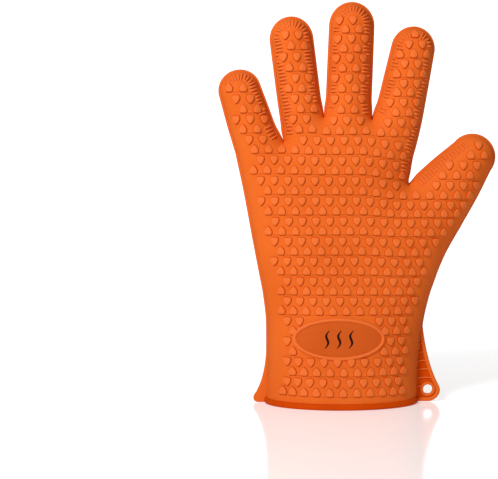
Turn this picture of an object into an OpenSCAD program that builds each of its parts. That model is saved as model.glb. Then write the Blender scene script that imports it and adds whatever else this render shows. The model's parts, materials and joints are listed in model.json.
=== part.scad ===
// Heat resistant grilling glove: a hollow moulded silicone skin that stands on its cuff.
// +Z runs from the cuff to the fingertips, the palm faces -Y and the thumb points towards +X.
// The origin is the centre of the cuff opening, at the foot of the hem. Units are millimetres.
// The skin is moulded in one piece. It is divided here where it bends: each digit is a row of
// sleeves, and a bend ring of softer section joins each sleeve to the next.

/* [Skin] */
// Thickness of the silicone wall
wall = 1.6; // [1.4:0.1:2.2]
// How far the seam flange stands out from the skin
flange_out = 1.3; // [0.8:0.1:1.6]
// Thickness of the seam flange
flange_t = 1.6; // [1:0.1:2.2]
// Clearance between two parts of the skin
part_gap = 0.1; // [0.05:0.01:0.2]

/* [Cuff] */
// Half of the cuff's width at the opening
mouth_w = 51.5; // [49:0.5:54]
// Half of the cuff's depth at the opening
mouth_d = 30; // [27:0.5:33]
// Height of the hem bead
hem_h = 4; // [3:0.5:6]
// How far the hem bead stands out from the cuff
hem_out = 1.5; // [1:0.1:2.5]

/* [Hanging tab] */
// Radius of the hanging hole
hole_r = 3.25; // [2.5:0.25:4]
// Distance from the middle of the cuff to the hole
hole_x = 60; // [59:0.5:62]
// Height of the hole above the foot of the hem
hole_z = 8.8; // [8.4:0.1:9.5]
// Radius of the tab's round corner
lobe_r = 8.4; // [7.5:0.1:8.4]
// Height at which the tab runs out into the seam flange
tab_h = 54; // [50:1:58]
// Thickness of the tab
tab_t = 3; // [2.4:0.2:3.6]
// Width of the rim along the tab's edge
tab_rim = 2.6; // [2:0.2:3]
// Number of ribs across each face of the tab
tab_ribs = 5; // [3:1:5]

/* [Oval panel] */
// Half of the oval ring's width, outside
badge_w = 31; // [26:0.5:33]
// Half of the oval ring's height, outside
badge_h = 14; // [12:0.5:16]
// Width of the oval ring
ring_w = 2.4; // [1.8:0.2:3]
// Height of the oval ring above the skin
ring_out = 1.3; // [0.8:0.1:1.6]
// Height of the oval's centre above the foot of the hem
badge_z = 47; // [44:1:51]
// Sideways place of the oval's centre
badge_x = -2.5; // [-5:0.5:5]

/* [Bends] */
// Angle that a finger folds at its base
fold_base = 60; // [30:5:65]
// Angle that a finger folds at its middle
fold_middle = 70; // [40:5:75]
// Angle that a finger folds near its tip
fold_tip = 40; // [20:5:50]
// Half of a bend ring's length on the back of a finger
bend_half = 1; // [0.8:0.1:1.5]
// Depth of a bend's axis in front of the middle of the finger
axis_depth = 2; // [1:0.5:3]

/* [Hidden] */
fold_thumb_base = 35;
fold_thumb_tip = 50;
ring_points = 22;   // corners of each section of the skin
far = 200;          // longer than any part of the glove
print_t = 0.2;      // thickness of the printed mark
panel_t = 0.4;      // thickness of the smooth panel inside the oval ring
pocket = 0.5;       // depth of the tab's faces below its rim
hole_land = 1.6;    // width of the raised land round the hole
ear_h = 30;         // height at which the ear on the cuff's corner runs out
wrist_z = 70;       // height at which the cuff's shells meet the palm's
knuckle_z = 158;    // height at which the palm's shells meet the knuckles'
hem_w = mouth_w + hem_out;
hem_d = mouth_d + hem_out;
orange = "#e8601f";
ink = "#2a1512";

// Sections of the palm: [height, left edge, right edge, half depth, squareness]
PALM = [
    [hem_h, -mouth_w, mouth_w, mouth_d, 2],
    [28, -50.5, 52.3, 27.5, 2],
    [55, -50, 55.2, 24.5, 2.1],
    [74, -52, 59.6, 22.5, 2.2],
    [95, -56, 67.2, 21.5, 2.2],
    [118, -60, 68, 20, 2.2],
    [145, -64.5, 46.5, 18, 2.4],
    [166, -69, 49, 16, 2.4]
];

// Digits: [base x, base z, lean, stations [along, half width, half depth], tip radius,
//          bends [along, fold]]. The base is level with the top of the web beside the digit.
INDEX = [39.7, 195, 12,
    [[-40, 13.5, 15.5], [-1, 14.7, 12.5], [20, 14.2, 11], [48, 13.3, 10]], 14.2,
    [[9, fold_base], [28, fold_middle], [45, fold_tip]]];
MIDDLE = [5.5, 197, 2.5,
    [[-40, 13.8, 15.5], [-1, 13.8, 12.5], [20, 14, 11], [61, 14, 10]], 15,
    [[9.5, fold_base], [33, fold_middle], [54, fold_tip]]];
RING = [-26.4, 197, -7,
    [[-40, 12.8, 15.5], [-1, 12.9, 12.5], [20, 13.2, 11], [52.5, 13.4, 10]], 14.5,
    [[9, fold_base], [29, fold_middle], [48, fold_tip]]];
LITTLE = [-56.8, 178.5, -17.5,
    [[-26, 14.2, 14.5], [-1, 14.8, 12], [15, 14.2, 10.5], [38.5, 13.2, 9.5]], 12.8,
    [[8, fold_base], [24, fold_middle - 8], [38, fold_tip]]];
THUMB = [65.2, 137.6, 38.7,
    [[-60, 28, 20], [-40, 28.5, 19.5], [-20, 26, 18], [0, 22.3, 15], [20, 19, 12.5], [40, 14.6, 10.5]], 14.4,
    [[9, fold_thumb_base], [31, fold_thumb_tip]]];
DIGITS = [INDEX, MIDDLE, RING, LITTLE, THUMB];

// Webs: [digit, next digit, how far below their bases the web ends, how deep it reaches]
WEBS = [[INDEX, MIDDLE, [1, 1], 30], [MIDDLE, RING, [1, 1], 30], [RING, LITTLE, [19, 1], 20]];

// An oval section of half width w and half depth d at (x, z). square 2 is an ellipse, and more is squarer.
function section(x, z, w, d, square) = [
    for (i = [0 : ring_points - 1])
        let (a = 360 * (i + 0.5) / ring_points, c = cos(a), s = sin(a))
        [x + w * sign(c) * pow(abs(c), 2 / square), d * sign(s) * pow(abs(s), 2 / square), z]
];

function palm_sections(grow) = [
    for (p = PALM) section((p[1] + p[2]) / 2, p[0], (p[2] - p[1]) / 2 + grow, p[3] + grow, p[4])
];

// A digit's outline as [along, half width, half depth]: its stations and then its round tip
function digit_outline(digit, grow) = let (
    stations = digit[3],
    last = stations[len(stations) - 1]
) concat(
    [for (s = stations) [s[0], s[1] + grow, s[2] + grow]],
    [
        for (a = [28, 52, 72, 84])
            [last[0] + (digit[4] + grow) * sin(a), (last[1] + grow) * cos(a), (last[2] + grow) * cos(a)]
    ]
);

function digit_sections(digit, grow) = [for (o = digit_outline(digit, grow)) section(0, o[0], o[1], o[2], 2.2)];

// Half width and half depth of a digit at a distance along it
function digit_size(digit, along) = [
    for (k = [1, 2]) lookup(along, [for (s = digit[3]) [s[0], s[k]]])
];

module digit_place(digit) {
    translate([digit[0], 0, digit[1]]) rotate([0, digit[2], 0]) children();
}

module upright(thickness) {
    rotate([90, 0, 0]) linear_extrude(height = thickness, center = true) children();
}

module convex(points) {
    hull() polyhedron(points = points, faces = [[for (i = [0 : len(points) - 1]) i]]);
}

module chain(sections) {
    for (i = [0 : len(sections) - 2]) convex(concat(sections[i], sections[i + 1]));
}

module digit_solid(digit, grow = 0) {
    chain(digit_sections(digit, grow));
}

// The skin between two neighbouring digits, just inside their own surfaces
module web(row, grow) {
    hull() for (k = [0, 1], along = [-row[2][k] - row[3], -row[2][k] + grow]) {
        size = digit_size(row[k], along);
        w = size[0] + grow - 0.4;
        d = size[1] + grow - 0.4;
        digit_place(row[k]) convex(concat(section(0, along, w, d, 2.2), section(0, along - 0.5, w, d, 2.2)));
    }
}

// The outside of the whole glove, moved out by grow. open carries the cuff down past the hem.
module body(grow = 0, open = 0) {
    chain(palm_sections(grow));
    if (open > 0)
        chain([for (z = [-open, hem_h]) section(0, z, mouth_w + grow, mouth_d + grow, 2)]);
    for (digit = DIGITS) digit_place(digit) digit_solid(digit, grow);
    for (row = WEBS) web(row, grow);
}

// A side view block in a digit's frame, from points [depth, along], wider than the digit
module digit_block(profile) {
    rotate([90, 0, 90]) linear_extrude(height = 48, center = true) polygon(profile);
}

// Everything in a digit past one side of a bend: side 1 is its far side and -1 its near side. The cut is
// square at the back and slopes away below the bend's axis, so that the two sides close at full fold.
module past(bend, side, gap) {
    start = bend[0] + side * gap;
    slope = side * (40 - axis_depth) * tan(bend[1] / 2);
    digit_block([[40, start], [-axis_depth, start], [-40, start + slope], [-40, far], [40, far]]);
}

// A digit's hollow skin and its flange, in its own frame
module hollow_digit(digit) {
    outline = digit_outline(digit, 0);
    n = len(outline);
    difference() {
        union() {
            digit_solid(digit);
            upright(flange_t) offset(delta = flange_out) polygon([
                for (i = [0 : 2 * n - 1]) i < n ? [outline[i][1], outline[i][0]]
                    : [-outline[2 * n - 1 - i][1], outline[2 * n - 1 - i][0]]
            ]);
        }
        digit_solid(digit, -wall);
    }
}

// One sleeve of a digit: past bend i, and up to the next bend if there is one
module sleeve(digit, i) {
    bends = digit[5];
    color(orange) digit_place(digit) difference() {
        intersection() {
            hollow_digit(digit);
            past(bends[i], 1, bend_half);
        }
        if (i + 1 < len(bends)) past(bends[i + 1], -1, bend_half);
    }
}

// The soft ring of skin that fills the gap at bend i
module bend_ring(digit, i) {
    bend = digit[5][i];
    color(orange) digit_place(digit) difference() {
        intersection() {
            hollow_digit(digit);
            past(bend, -1, bend_half - part_gap);
        }
        past(bend, 1, bend_half - part_gap);
    }
}

// Where the digits leave the palm
module past_first_bends() {
    for (digit = DIGITS) digit_place(digit) past(digit[5][0], -1, bend_half);
}

// One side of the hand's skin between two heights: side -1 is the front and 1 is the back
module shell(side, low, high) {
    color(orange) intersection() {
        difference() {
            body();
            body(grow = -wall, open = 10);
            past_first_bends();
        }
        translate([-far, side > 0 ? part_gap / 2 : -far - part_gap / 2, low + part_gap / 2])
            cube([2 * far, far, high - low - part_gap]);
    }
}

module hem_outline(w, d) {
    polygon([for (p = section(0, 0, w, d, 2)) [p[0], p[1]]]);
}

module cuff_hem() {
    color(orange) linear_extrude(height = hem_h) difference() {
        hem_outline(hem_w, hem_d);
        hem_outline(mouth_w - wall, mouth_d - wall);
    }
}

// The cuff and its hem with clearance round them, as a solid to cut other parts with
module cuff_clearance() {
    translate([0, 0, -1]) linear_extrude(height = hem_h + part_gap + 1)
        hem_outline(hem_w + part_gap, hem_d + part_gap);
    rows = palm_sections(part_gap / 2);
    chain([for (i = [0 : 3]) rows[i]]);
}

// The hanging tab's outline, moved in by inset: round corner, and a sweep up its outer edge into the flange
module tab_outline(inset = 0) {
    r = lobe_r - inset;
    start = [hole_x + r, hole_z + 1];
    pull = [mouth_w + 7.5 - inset, 27];
    top = [55.2 + flange_out - inset, tab_h];
    corner = [for (a = [-90 : 10 : 0]) [hole_x + r * cos(a), hole_z + r * sin(a)]];
    sweep = [for (t = [0 : 0.1 : 1]) start * pow(1 - t, 2) + 2 * pull * t * (1 - t) + top * t * t];
    polygon(concat([[mouth_w - 2, hole_z - r]], corner, sweep, [[mouth_w - 2, tab_h]]));
}

// The tab's sunk face: inside its rim, and clear of the land round its hole
module tab_face() {
    difference() {
        tab_outline(tab_rim);
        translate([hole_x, hole_z]) circle(r = hole_r + hole_land, $fn = 64);
    }
}

module hang_tab() {
    color(orange) difference() {
        upright(tab_t) tab_outline();
        for (side = [-1, 1]) translate([0, side * tab_t / 2, 0]) upright(2 * pocket) tab_face();
        cuff_clearance();
        translate([hole_x, 0, hole_z]) rotate([90, 0, 0])
            cylinder(r = hole_r, h = 2 * tab_t, center = true, $fn = 64);
    }
}

// Fine ribs across both sunk faces of the tab, above its hole, as high as the rim
module hang_tab_ribs() {
    rib_h = 0.7;
    pitch = 5.9;
    first = hole_z + 8;
    inner = hem_w + 1;
    color(orange) for (i = [0 : tab_ribs - 1], side = [-1, 1]) intersection() {
        translate([0, side * (tab_t - pocket) / 2, 0]) upright(pocket) tab_outline(tab_rim);
        translate([inner, -tab_t, first + i * pitch]) cube([far, 2 * tab_t, rib_h]);
    }
}

// The small corner where the hem meets the flange on the little finger's side
module cuff_corner_ear() {
    outer = -hem_w;
    color(orange) difference() {
        upright(flange_t + 0.8) polygon([
            [outer + 4, 0.4], [outer - 5, 0.4], [outer - 7.4, 1.6], [outer - 7.6, 4], [outer - 5.4, 8],
            [outer - 2.6, 15], [outer - 1, 24], [outer, ear_h], [outer + 4, ear_h]
        ]);
        cuff_clearance();
    }
}

// The silhouette of the glove as a 2D shape of x and z
module silhouette() {
    for (i = [0 : len(PALM) - 2]) polygon([
        [PALM[i][1], PALM[i][0]], [PALM[i][2], PALM[i][0]],
        [PALM[i + 1][2], PALM[i + 1][0]], [PALM[i + 1][1], PALM[i + 1][0]]
    ]);
    for (digit = DIGITS) translate([digit[0], digit[1]]) rotate(-digit[2]) {
        outline = digit_outline(digit, 0);
        n = len(outline);
        polygon([
            for (i = [0 : 2 * n - 1]) i < n ? [outline[i][1], outline[i][0]]
                : [-outline[2 * n - 1 - i][1], outline[2 * n - 1 - i][0]]
        ]);
    }
    for (row = WEBS) hull() for (k = [0, 1], along = [-row[2][k] - row[3], -row[2][k]]) {
        size = digit_size(row[k], along);
        translate([row[k][0], row[k][1]]) rotate(-row[k][2]) translate([-size[0], along - 0.5])
            square([2 * size[0], 0.5]);
    }
}

// The flange round the palm, up to where the digits leave it
module palm_flange() {
    difference() {
        upright(flange_t) offset(delta = flange_out) silhouette();
        body(grow = part_gap / 2);
        past_first_bends();
    }
}

// The middle of the hand between the little finger and the thumb, where the webs are
module web_region() {
    upright(10) hull() {
        for (digit = [LITTLE, THUMB]) translate([digit[0], digit[1]]) rotate(-digit[2]) {
            translate([0, -30]) square(0.5);
            translate([0, 40]) square(0.5);
        }
    }
}

module seam_flange_webs() {
    color(orange) intersection() {
        palm_flange();
        web_region();
    }
}

// The flange along the outer edges, clear of the tab and the ear
module seam_flange_sides() {
    color(orange) difference() {
        palm_flange();
        web_region();
        translate([0, -10, -10]) cube([far, 20, tab_h + 10 + part_gap]);
        translate([-far, -10, -10]) cube([far, 20, ear_h + 10 + part_gap]);
    }
}

// A thin layer on the outside of the cuff, from low to high above the skin, cut to a 2D shape
module on_skin(side, low, high) {
    intersection() {
        difference() {
            chain(palm_sections(high));
            chain(palm_sections(low));
        }
        translate([badge_x, side > 0 ? far : 0, badge_z]) rotate([90, 0, 0]) linear_extrude(height = far) children();
    }
}

module oval_2d(inset) {
    scale([badge_w - inset, badge_h - inset]) circle(r = 1, $fn = 48);
}

module oval_ring(side) {
    color(orange) on_skin(side, part_gap / 2, ring_out) difference() {
        oval_2d(0);
        oval_2d(ring_w);
    }
}

module oval_panel(side) {
    color(orange) on_skin(side, part_gap / 2, panel_t) oval_2d(ring_w + part_gap);
}

// A plain mark of rising heat: upright wavy strokes, thickest in the middle
module printed_mark() {
    color(ink) on_skin(-1, panel_t + part_gap / 2, panel_t + print_t) for (x = [-8, 0, 8]) polygon([
        for (side = [-1, 1], k = [0 : 12])
            let (t = (side < 0 ? k : 12 - k) / 12)
            [x + 1.3 * sin(360 * t) + side * (0.3 + 0.5 * sin(180 * t)), 11 * (t - 0.5)]
    ]);
}

shell(-1, hem_h + part_gap / 2, wrist_z);  // cuff_front_shell
shell(1, hem_h + part_gap / 2, wrist_z);  // cuff_back_shell
shell(-1, wrist_z, knuckle_z);  // palm_front_shell
shell(1, wrist_z, knuckle_z);  // palm_back_shell
shell(-1, knuckle_z, 2 * far);  // knuckle_front_shell
shell(1, knuckle_z, 2 * far);  // knuckle_back_shell
cuff_hem();
cuff_corner_ear();
hang_tab();
hang_tab_ribs();
seam_flange_sides();
seam_flange_webs();
oval_ring(-1);  // oval_ring_front
oval_panel(-1);  // oval_panel_front
printed_mark();
oval_ring(1);  // oval_ring_back
oval_panel(1);  // oval_panel_back
bend_ring(INDEX, 0);  // index_base_bend
sleeve(INDEX, 0);  // index_base
bend_ring(INDEX, 1);  // index_middle_bend
sleeve(INDEX, 1);  // index_middle
bend_ring(INDEX, 2);  // index_tip_bend
sleeve(INDEX, 2);  // index_tip
bend_ring(MIDDLE, 0);  // middle_base_bend
sleeve(MIDDLE, 0);  // middle_base
bend_ring(MIDDLE, 1);  // middle_middle_bend
sleeve(MIDDLE, 1);  // middle_middle
bend_ring(MIDDLE, 2);  // middle_tip_bend
sleeve(MIDDLE, 2);  // middle_tip
bend_ring(RING, 0);  // ring_base_bend
sleeve(RING, 0);  // ring_base
bend_ring(RING, 1);  // ring_middle_bend
sleeve(RING, 1);  // ring_middle
bend_ring(RING, 2);  // ring_tip_bend
sleeve(RING, 2);  // ring_tip
bend_ring(LITTLE, 0);  // little_base_bend
sleeve(LITTLE, 0);  // little_base
bend_ring(LITTLE, 1);  // little_middle_bend
sleeve(LITTLE, 1);  // little_middle
bend_ring(LITTLE, 2);  // little_tip_bend
sleeve(LITTLE, 2);  // little_tip
bend_ring(THUMB, 0);  // thumb_base_bend
sleeve(THUMB, 0);  // thumb_base
bend_ring(THUMB, 1);  // thumb_tip_bend
sleeve(THUMB, 1);  // thumb_tip
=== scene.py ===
"""Heat resistant grilling glove: the moulded silicone skin, with its studs, ribs, seam flange and cuff."""
import json
import math

import bmesh
import bpy
import numpy as np
from mathutils import Matrix, Vector


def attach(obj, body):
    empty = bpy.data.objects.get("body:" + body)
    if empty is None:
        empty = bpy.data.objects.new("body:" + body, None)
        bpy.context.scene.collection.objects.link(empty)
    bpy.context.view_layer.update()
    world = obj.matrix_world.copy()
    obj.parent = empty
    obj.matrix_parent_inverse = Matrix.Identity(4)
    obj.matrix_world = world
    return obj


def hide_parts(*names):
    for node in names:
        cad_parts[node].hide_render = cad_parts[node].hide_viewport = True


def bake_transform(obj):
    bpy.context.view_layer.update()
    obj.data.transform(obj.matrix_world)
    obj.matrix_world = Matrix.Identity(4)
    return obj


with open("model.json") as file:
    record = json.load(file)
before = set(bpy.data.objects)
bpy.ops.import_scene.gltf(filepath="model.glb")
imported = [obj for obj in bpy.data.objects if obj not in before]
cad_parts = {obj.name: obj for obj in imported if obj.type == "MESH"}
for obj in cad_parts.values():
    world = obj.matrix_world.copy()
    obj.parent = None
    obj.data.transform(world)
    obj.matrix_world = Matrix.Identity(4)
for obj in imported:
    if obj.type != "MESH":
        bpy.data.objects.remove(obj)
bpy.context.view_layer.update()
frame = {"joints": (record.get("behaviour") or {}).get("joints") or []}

JOINTS = {j["name"]: j for j in frame["joints"]}
MM = 0.001  # everything is worked out in millimetres and made in metres
FRONT, BACK = -1, 1  # the palm's side and the back of the hand

# ---------------------------------------------------------------- sizes of the moulding, in mm

WALL = 1.6           # thickness of the skin
FLANGE_OUT = 1.2     # how far the seam flange stands out of the skin
FLANGE_T = 1.5       # thickness of the seam flange
STUD_OUT = 1.1       # height of a stud
RIB_PITCH = 2.4      # between the ribs along a digit's edge
RIB_OUT = 1.05       # height of a rib
HEM_Z = 4.2          # top of the hem bead
HEM_OUT = 1.5        # how far the hem bead stands out of the skin
GRID = 1.25          # spacing of the skin's grid along the glove
ROOT = -8.5          # a digit starts to bend this far from its base hinge
OVAL_AT = (-2.5, 47.0)
OVAL = (31.0, 14.0)  # half sizes of the oval ring, outside
RING_W, RING_OUT = 2.4, 1.3

# Skin outline of the hand below the fingers: each side's x at a height, as (z, x)
LEFT_EDGE = [(-6, -51.6), (4, -51.5), (28, -50.4), (55, -50.2), (74, -52), (95, -55.8), (118, -60),
             (145, -64.8), (173, -70.6)]
RIGHT_EDGE = [(-6, 51.8), (4, 51.8), (28, 52.6), (55, 55.6), (74, 59.9), (84, 63.3), (95, 67.4),
              (105, 72.0)]

# Each digit: its half width at distances from its base hinge, the radius of its tip, where its grid starts
# on the left and on the right (None at a gap), how near its left edge, tip and right edge a stud may be,
# and which of these carry ribs
DIGITS = {
    "little": {"width": [(-12, 14.9), (7, 14.5), (30.5, 13.4)], "tip": 12.8, "starts": (-11, None),
               "clear": (5.2, 5.2, 4.4), "ribs": (False, True, True)},
    "ring": {"width": [(-12, 13.4), (11, 13.7), (43.5, 13.7)], "tip": 14.5, "starts": (None, None),
             "clear": (5.4, 5.9, 4.8), "ribs": (True, True, True)},
    "middle": {"width": [(-12, 14.2), (10.5, 14.4), (51.5, 14.2)], "tip": 15.0, "starts": (None, None),
               "clear": (4.0, 5.2, 4.8), "ribs": (True, True, True)},
    "index": {"width": [(-48, 13.5), (-10, 15.1), (11, 14.6), (39, 13.6)], "tip": 14.2,
              "starts": (None, -12), "clear": (4.5, 4.8, 4.8), "ribs": (True, True, True)},
    "thumb": {"width": [(-29, 26), (-9, 22.3), (11, 19), (31, 14.6)], "tip": 14.4,
              "starts": (None, -11), "clear": (7.4, 6.2, 4.8), "ribs": (True, False, False)},
}
FINGERS = ["little", "ring", "middle", "index"]
ORDER = FINGERS + ["thumb"]

# Bottom of the gap between neighbouring digits, as (x, z)
WEBS = [(-38.6, 179.8), (-11.0, 196.6), (21.7, 194.8), (46.9, 150.6)]


# ---------------------------------------------------------------- curves

def pchip(points):
    """A smooth curve through points that doesn't overshoot between them."""
    x, y = (np.array(v, float) for v in zip(*points))
    h = np.diff(x)
    d = np.diff(y) / h
    m = np.concatenate([[d[0]], np.zeros(len(x) - 2), [d[-1]]])
    for i in range(1, len(x) - 1):
        if d[i - 1] * d[i] > 0:
            w1, w2 = 2 * h[i] + h[i - 1], h[i] + 2 * h[i - 1]
            m[i] = (w1 + w2) / (w1 / d[i - 1] + w2 / d[i])

    def curve(t):
        t = np.asarray(t, float)
        i = np.clip(np.searchsorted(x, t) - 1, 0, len(h) - 1)
        s = np.clip((t - x[i]) / h[i], 0, 1)
        return ((1 + 2 * s) * (1 - s) ** 2 * y[i] + s * (1 - s) ** 2 * h[i] * m[i]
                + s * s * (3 - 2 * s) * y[i + 1] + s * s * (s - 1) * h[i] * m[i + 1])
    return curve


def smooth(a, b, t):
    """0 at a and before it, 1 at b and past it, with an eased change between."""
    s = np.clip((np.asarray(t, float) - a) / (b - a), 0, 1)
    return s * s * (3 - 2 * s)


left_x = pchip(LEFT_EDGE)


class Digit:
    """A digit's own frame: along it from its base hinge, and across it towards the thumb's side."""

    def __init__(self, name):
        spec = DIGITS[name]
        self.parts = ["base", "tip"] if name == "thumb" else ["base", "middle", "tip"]
        self.hinges = [JOINTS[f"{name}_{p}_fold"] for p in self.parts]
        self.origin = np.array([self.hinges[0]["pos_m"][0], self.hinges[0]["pos_m"][2]]) / MM
        lean = math.atan2(-self.hinges[0]["axis"][2], self.hinges[0]["axis"][0])
        self.up = np.array([math.sin(lean), math.cos(lean)])
        self.side = np.array([math.cos(lean), -math.sin(lean)])
        self.bends = [float(self.local([h["pos_m"][0] / MM, h["pos_m"][2] / MM])[0]) for h in self.hinges]
        self.cuts = [(a + b) / 2 for a, b in zip(self.bends, self.bends[1:])]
        self.width = pchip(spec["width"])
        self.end, self.end_width = spec["width"][-1]
        self.tip, self.starts = spec["tip"], spec["starts"]
        self.clear, self.ribs = spec["clear"], spec["ribs"]

    def at(self, along, across):
        """The place (x, z) this far along and across."""
        along, across = np.asarray(along, float), np.asarray(across, float)
        return self.origin + along[..., None] * self.up + across[..., None] * self.side

    def local(self, point):
        """How far along and across a place is."""
        d = np.asarray(point, float) - self.origin
        return np.stack([d @ self.up, d @ self.side], -1)

    def half(self, along):
        """Half width, with the round tip."""
        along = np.asarray(along, float)
        past = np.clip((along - self.end) / self.tip, 0, 1)
        return np.where(along > self.end, self.end_width * np.sqrt(1 - past ** 2),
                        self.width(np.minimum(along, self.end)))


DIGIT = {n: Digit(n) for n in ORDER}


# ---------------------------------------------------------------- the skin's grid, flat, in x and z

FINGER_COLS, THUMB_COLS, CAP_ROWS = 26, 30, 16
UPPER_ROWS, LOWER_ROWS = 36, 112
LOWER_EASE = 0.8      # how soon the columns of the lower palm spread to the cuff's spacing
PULL = 8.0            # how far up from a gap's bottom the edges are drawn in, so that the gap narrows
GAP_ROW_LEFT = 140.0  # height at the left edge of the row that ends at the thumb's gap
GAP_ROW_CROWD = 0.25  # share of that row's spacing that is closer together towards its ends
GAP_ABOVE = (2.5, 46.6)                        # the index finger's side just above the thumb's gap
INDEX_SIDE_AT = (-34.0, -26.0, -18.0, -12.0)   # and further up, by distances from its base hinge


def across_angles(n):
    """-1 on the left edge to 1 on the right, closer together towards the edges."""
    return -np.cos(np.pi * np.arange(n + 1) / n)


def base_row(n, left, right):
    """A digit's first row, from one gap's bottom to the next."""
    f = (across_angles(n) + 1) / 2
    return np.array(left) + f[:, None] * (np.array(right) - np.array(left))


def digit_rows(digit, first):
    """A digit's rows from its slanted first one to its tip, its tip's point, and where its pieces meet."""
    local = digit.local(first)
    start, s = local[:, 0], across_angles(len(first) - 1)
    off = local[:, 1] - s * digit.half(start)
    root_steps = max(3, int(round((ROOT - start.mean()) / GRID)))
    alongs = [start + (ROOT - start) * k / root_steps for k in range(root_steps + 1)]
    ends = [0]
    for a, b in zip([ROOT] + digit.cuts, digit.cuts + [digit.end]):
        steps = int(round((b - a) / GRID))
        alongs += [np.full(len(s), a + (b - a) * k / steps) for k in range(1, steps + 1)]
        ends.append(len(alongs) - 1)
    rows = []
    for along in alongs:
        drawn_in = off * np.exp(-((along - start) / PULL) ** 2)
        rows.append(digit.at(along, s * digit.half(along) + drawn_in))
    for k in range(1, CAP_ROWS):
        a = 0.5 * math.pi * k / CAP_ROWS
        along = np.full(len(s), digit.end + digit.tip * math.sin(a))
        rows.append(digit.at(along, s * digit.end_width * math.cos(a)))
    rows[0] = np.array(first)
    ends[-1] = len(rows) - 1
    return np.array(rows), digit.at(digit.end + digit.tip, 0.0), ends


def start_point(digit, k):
    """Where a digit with no neighbour on side k (0 left, 1 right) starts."""
    along = digit.starts[k]
    return digit.at(along, (2 * k - 1) * digit.half(along))


webs = [np.array(w) for w in WEBS]
starts = [start_point(DIGIT["little"], 0)] + webs[:3] + [start_point(DIGIT["index"], 1)]
thumb_start = start_point(DIGIT["thumb"], 1)
right_x = pchip(RIGHT_EDGE + [(thumb_start[1], thumb_start[0])])
first_rows = {n: base_row(FINGER_COLS, starts[i], starts[i + 1]) for i, n in enumerate(FINGERS)}
first_rows["thumb"] = base_row(THUMB_COLS, webs[3], thumb_start)
digit_grid = {n: digit_rows(DIGIT[n], first_rows[n]) for n in ORDER}


def fill_rows(top, bottom, left, right, n, ease):
    """Rows between a top row and a bottom row, whose ends follow the curves left and right."""
    def share(row):
        return (row[:, 0] - row[0, 0]) / (row[-1, 0] - row[0, 0])
    f_top, f_bottom = share(top), share(bottom)
    rows = []
    for k in range(n + 1):
        t = k / n
        z = top[:, 1] + (bottom[:, 1] - top[:, 1]) * t
        f = f_top + (f_bottom - f_top) * t ** ease
        a, b = left(z[0]), right(z[-1])
        rows.append(np.stack([a + f * (b - a), z], -1))
    rows[0], rows[-1] = np.array(top), np.array(bottom)
    return np.array(rows)


# upper palm: from the fingers' first rows down to the level of the thumb's gap
palm_top = np.concatenate([first_rows["little"]] + [first_rows[n][1:] for n in FINGERS[1:]])
index_edge = [(webs[3][1], webs[3][0]), (webs[3][1] + GAP_ABOVE[0], GAP_ABOVE[1])]
for a in INDEX_SIDE_AT:
    p = DIGIT["index"].at(a, DIGIT["index"].half(a))
    index_edge.append((p[1], p[0]))
index_side_x = pchip(index_edge)
n_cols = len(palm_top) - 1
f = (palm_top[:, 0] - palm_top[0, 0]) / (palm_top[-1, 0] - palm_top[0, 0])
f = (1 - GAP_ROW_CROWD) * f + GAP_ROW_CROWD * (across_angles(n_cols) + 1) / 2
left_end = np.array([left_x(GAP_ROW_LEFT), GAP_ROW_LEFT])
middle_row = left_end + f[:, None] * (webs[3] - left_end)
upper_palm = fill_rows(palm_top, middle_row, left_x, index_side_x, UPPER_ROWS, 1.0)

# lower palm and cuff: from that level and the thumb's first row down to the foot of the hem
lower_top = np.concatenate([middle_row, first_rows["thumb"][1:]])
n_low = len(lower_top) - 1
hem_f = (across_angles(n_low) + 1) / 2
hem_row = np.stack([left_x(0.0) + hem_f * (right_x(0.0) - left_x(0.0)), np.zeros(n_low + 1)], -1)
lower_palm = fill_rows(lower_top, hem_row, left_x, right_x, LOWER_ROWS, LOWER_EASE)


# ---------------------------------------------------------------- the outline, from the hem's left end

# how near the palm's edges a stud may be, by height
LEFT_CLEAR = pchip([(0, 10), (60, 10), (110, 9), (175, 7)])
RIGHT_CLEAR = pchip([(0, 10), (60, 10), (72, 8), (98, 7.6), (115, 7), (135, 6)])
INDEX_SIDE_CLEAR = 4.3
TIP_FROM = 0.3      # a digit's tip starts this share of its radius past the digit's straight part
TANGENT_STEP = 0.9  # the outline's direction is taken this far either way

runs = [("palm", np.concatenate([lower_palm[::-1, 0], upper_palm[::-1, 0][1:]]), LEFT_CLEAR, False)]
for name in ORDER:
    digit = DIGIT[name]
    rows, pole, ends = digit_grid[name]
    if name == "thumb":
        runs.append(("palm", upper_palm[:, -1], INDEX_SIDE_CLEAR, True))
    up = []
    for k, part in enumerate(digit.parts):
        span = slice(ends[k], ends[k + 1] + 1)
        up.append((f"{name}_{part}", rows[span, 0], rows[span, -1][::-1]))
    last = up[-1]
    up[-1] = (last[0], np.vstack([last[1], pole[None]]), np.vstack([pole[None], last[2]]))
    runs += [(key, side, digit.clear[0], digit.ribs[0]) for key, side, _ in up]
    runs += [(key, side, digit.clear[2], digit.ribs[2]) for key, _, side in reversed(up)]
runs.append(("palm", lower_palm[:, -1], RIGHT_CLEAR, False))

outline, run_ends, clear, ribbed = [], [], [], []
for key, side, near, ribs in runs:
    first = 0 if not outline else 1
    run_ends.append((key, max(len(outline) - 1, 0), len(outline) + len(side) - first - 1))
    for p in side[first:]:
        outline.append(p)
        clear.append(float(near(p[1])) if callable(near) else near)
        ribbed.append(ribs)
outline, clear, ribbed = np.array(outline), np.array(clear), np.array(ribbed)
for name in ORDER:
    digit = DIGIT[name]
    tip = np.linalg.norm(outline - digit.at(digit.end, 0.0), axis=1) < digit.tip + 0.5
    tip &= digit.local(outline)[:, 0] > digit.end + TIP_FROM * digit.tip
    clear[tip], ribbed[tip] = digit.clear[1], digit.ribs[1]

step = np.linalg.norm(np.diff(outline, axis=0), axis=1)
walk = np.concatenate([[0], np.cumsum(step)])


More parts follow.
